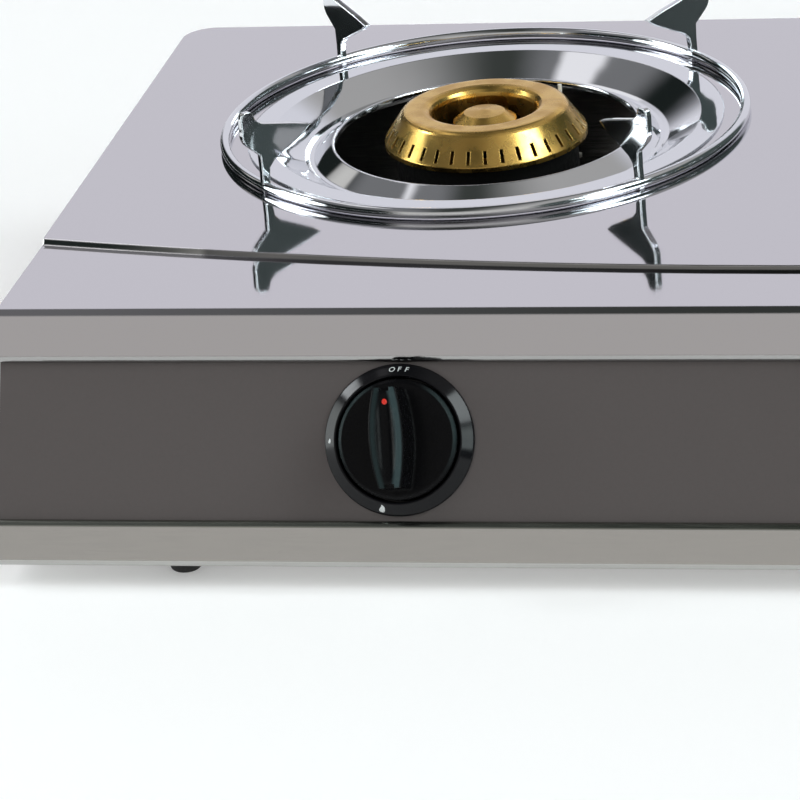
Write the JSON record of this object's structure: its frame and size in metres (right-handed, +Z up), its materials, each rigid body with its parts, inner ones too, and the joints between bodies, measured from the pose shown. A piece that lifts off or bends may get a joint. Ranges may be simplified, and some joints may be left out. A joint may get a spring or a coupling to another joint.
{
  "type": "two-burner gas stove",
  "caption": "Tabletop gas stove with a polished steel top, sloping dark front panel, turning push knobs, brass burner heads and lift-off ring pan supports.",
  "frame": {"origin": "on the table, under the middle of the whole stove", "axes": "+X to the right seen from the front, +Y to the back, +Z up"},
  "size_m": [0.7036, 0.4237, 0.1432],
  "materials": {
    "polished_steel": "mirror-polished stainless steel sheet",
    "satin_steel": "satin stainless steel sheet",
    "dark_paint": "taupe satin enamel",
    "black_gloss": "gloss black heat-resistant plastic",
    "black_plastic": "satin black heat-resistant plastic",
    "rubber": "matte black rubber",
    "chrome": "bright chrome plate",
    "brass": "turned brass",
    "cast_iron": "dark enamelled casting",
    "aluminium": "die-cast aluminium",
    "zinc": "zinc-plated steel",
    "ceramic": "white glazed ceramic with a steel tip",
    "silicone": "red silicone lead"
  },
  "bodies": {
    "body": {"top_plate": "polished_steel", "body_shell": "satin_steel", "front_panel": "dark_paint", "case_screws": "zinc", "foot_front_left": "rubber", "foot_front_right": "rubber", "foot_back_left": "rubber", "foot_back_right": "rubber", "gas_pipe": "zinc", "hose_tail": "brass", "bracket_screws": "zinc", "bezel_left": "black_gloss", "bezel_right": "black_gloss", "valve_body_left": "aluminium", "valve_body_right": "aluminium", "pipe_clamp_left": "zinc", "pipe_clamp_right": "zinc", "igniter_left": "black_plastic", "igniter_right": "black_plastic", "ignition_wire_left": "silicone", "ignition_wire_right": "silicone", "injector_left": "brass", "injector_right": "brass", "burner_body_left": "cast_iron", "burner_body_right": "cast_iron", "burner_bracket_left": "zinc", "burner_bracket_right": "zinc", "electrode_left": "ceramic", "electrode_right": "ceramic", "drip_bowl_left": "chrome", "drip_bowl_right": "chrome"},
    "valve_plug_left": {"valve_plug_left": "brass"},
    "knob_left": {"knob_left": "black_plastic", "valve_stem_left": "zinc"},
    "air_shutter_left": {"air_shutter_left": "zinc"},
    "outer_cap_left": {"outer_cap_left": "brass"},
    "inner_cap_left": {"inner_cap_left": "brass"},
    "pan_support_left": {"pan_support_left": "chrome"},
    "valve_plug_right": {"valve_plug_right": "brass"},
    "knob_right": {"knob_right": "black_plastic", "valve_stem_right": "zinc"},
    "air_shutter_right": {"air_shutter_right": "zinc"},
    "outer_cap_right": {"outer_cap_right": "brass"},
    "inner_cap_right": {"inner_cap_right": "brass"},
    "pan_support_right": {"pan_support_right": "chrome"}
  },
  "joints": [
    {"name": "valve_turn_left", "type": "hinge", "parent": "body", "child": "valve_plug_left", "pos_m": [-0.182, -0.17976, 0.05556], "axis": [0, -0.8988, 0.4384], "range_deg": [-4, 166]},
    {"name": "knob_push_left", "type": "slide", "parent": "valve_plug_left", "child": "knob_left", "axis": [0, 0.8988, -0.4384], "range_m": [0, 0.004], "stiffness_N_per_m": 900, "springref_m": -0.004},
    {"name": "shutter_turn_left", "type": "hinge", "parent": "body", "child": "air_shutter_left", "pos_m": [-0.1845, -0.11582, 0.05], "axis": [0, 1, 0], "range_deg": [0, 45]},
    {"name": "outer_cap_lift_left", "type": "slide", "parent": "body", "child": "outer_cap_left", "axis": [0, 0, 1], "range_m": [0, 0.05]},
    {"name": "inner_cap_lift_left", "type": "slide", "parent": "body", "child": "inner_cap_left", "axis": [0, 0, 1], "range_m": [0, 0.05]},
    {"name": "pan_support_lift_left", "type": "slide", "parent": "body", "child": "pan_support_left", "axis": [0, 0, 1], "range_m": [0, 0.07]},
    {"name": "valve_turn_right", "type": "hinge", "parent": "body", "child": "valve_plug_right", "pos_m": [0.182, -0.17976, 0.05556], "axis": [0, -0.8988, 0.4384], "range_deg": [0, 170]},
    {"name": "knob_push_right", "type": "slide", "parent": "valve_plug_right", "child": "knob_right", "axis": [0, 0.8988, -0.4384], "range_m": [0, 0.004], "stiffness_N_per_m": 900, "springref_m": -0.004},
    {"name": "shutter_turn_right", "type": "hinge", "parent": "body", "child": "air_shutter_right", "pos_m": [0.1845, -0.11582, 0.05], "axis": [0, 1, 0], "range_deg": [-45, 0]},
    {"name": "outer_cap_lift_right", "type": "slide", "parent": "body", "child": "outer_cap_right", "axis": [0, 0, 1], "range_m": [0, 0.05]},
    {"name": "inner_cap_lift_right", "type": "slide", "parent": "body", "child": "inner_cap_right", "axis": [0, 0, 1], "range_m": [0, 0.05]},
    {"name": "pan_support_lift_right", "type": "slide", "parent": "body", "child": "pan_support_right", "axis": [0, 0, 1], "range_m": [0, 0.07]}
  ]
}
